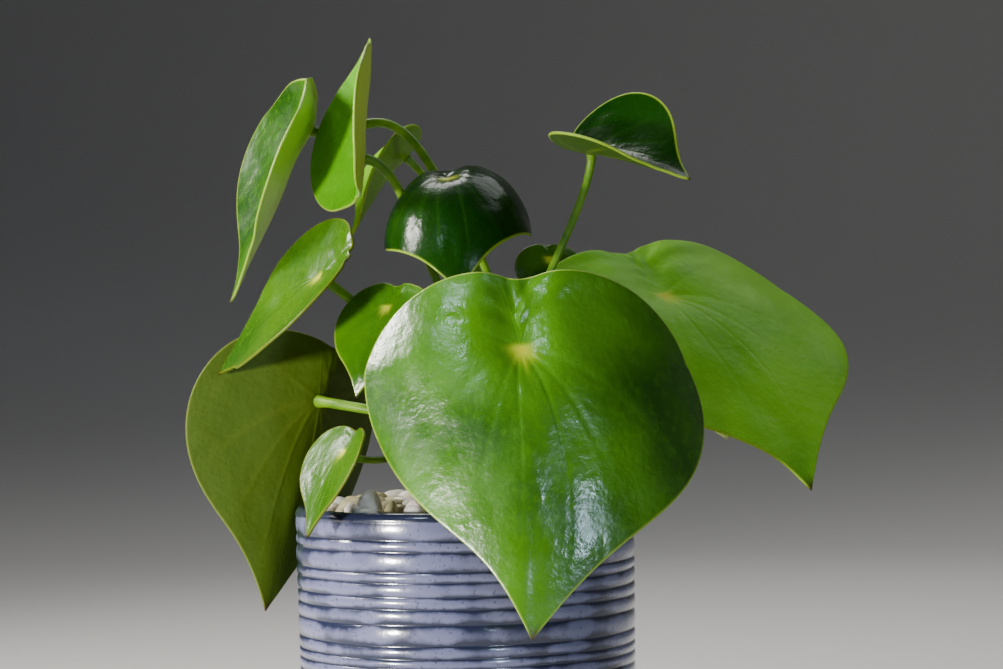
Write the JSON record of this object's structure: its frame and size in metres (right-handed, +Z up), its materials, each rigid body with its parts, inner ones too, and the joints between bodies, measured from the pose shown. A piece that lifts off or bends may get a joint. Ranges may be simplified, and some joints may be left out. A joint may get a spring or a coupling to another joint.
{
  "type": "potted peperomia",
  "caption": "Small potted peperomia: glossy teardrop leaves on bare round petioles from one short stem, in a ringed, glazed thrown pot topped with pale gravel.",
  "frame": {"origin": "centre of the pot's flat base", "axes": "+Z up; -Y is the plant's front, where the picture's camera stands, with +X to its right"},
  "size_m": [0.1919, 0.1478, 0.2206],
  "materials": {
    "glaze": "glossy blue-grey glaze, darker in the grooves",
    "soil": "matt dark potting soil",
    "gravel": "matt mixed pebbles",
    "stalk": "smooth yellow-green skin",
    "leaf": "glossy thick green leaf"
  },
  "bodies": {
    "root": {"pot": "glaze", "soil": "soil", "gravel": "gravel", "stem": "stalk", "petiole_a": "stalk", "petiole_b": "stalk", "petiole_c": "stalk", "petiole_d": "stalk", "petiole_e": "stalk", "petiole_f": "stalk", "petiole_g": "stalk", "petiole_h": "stalk", "petiole_i": "stalk", "petiole_j": "stalk", "petiole_k": "stalk", "petiole_l": "stalk", "petiole_m": "stalk", "petiole_n": "stalk", "leaf_a": "leaf", "leaf_b": "leaf", "leaf_c": "leaf", "leaf_d": "leaf", "leaf_e": "leaf", "leaf_f": "leaf", "leaf_g": "leaf", "leaf_h": "leaf", "leaf_i": "leaf", "leaf_j": "leaf", "leaf_k": "leaf", "leaf_l": "leaf", "leaf_m": "leaf", "leaf_n": "leaf"}
  },
  "joints": []
}
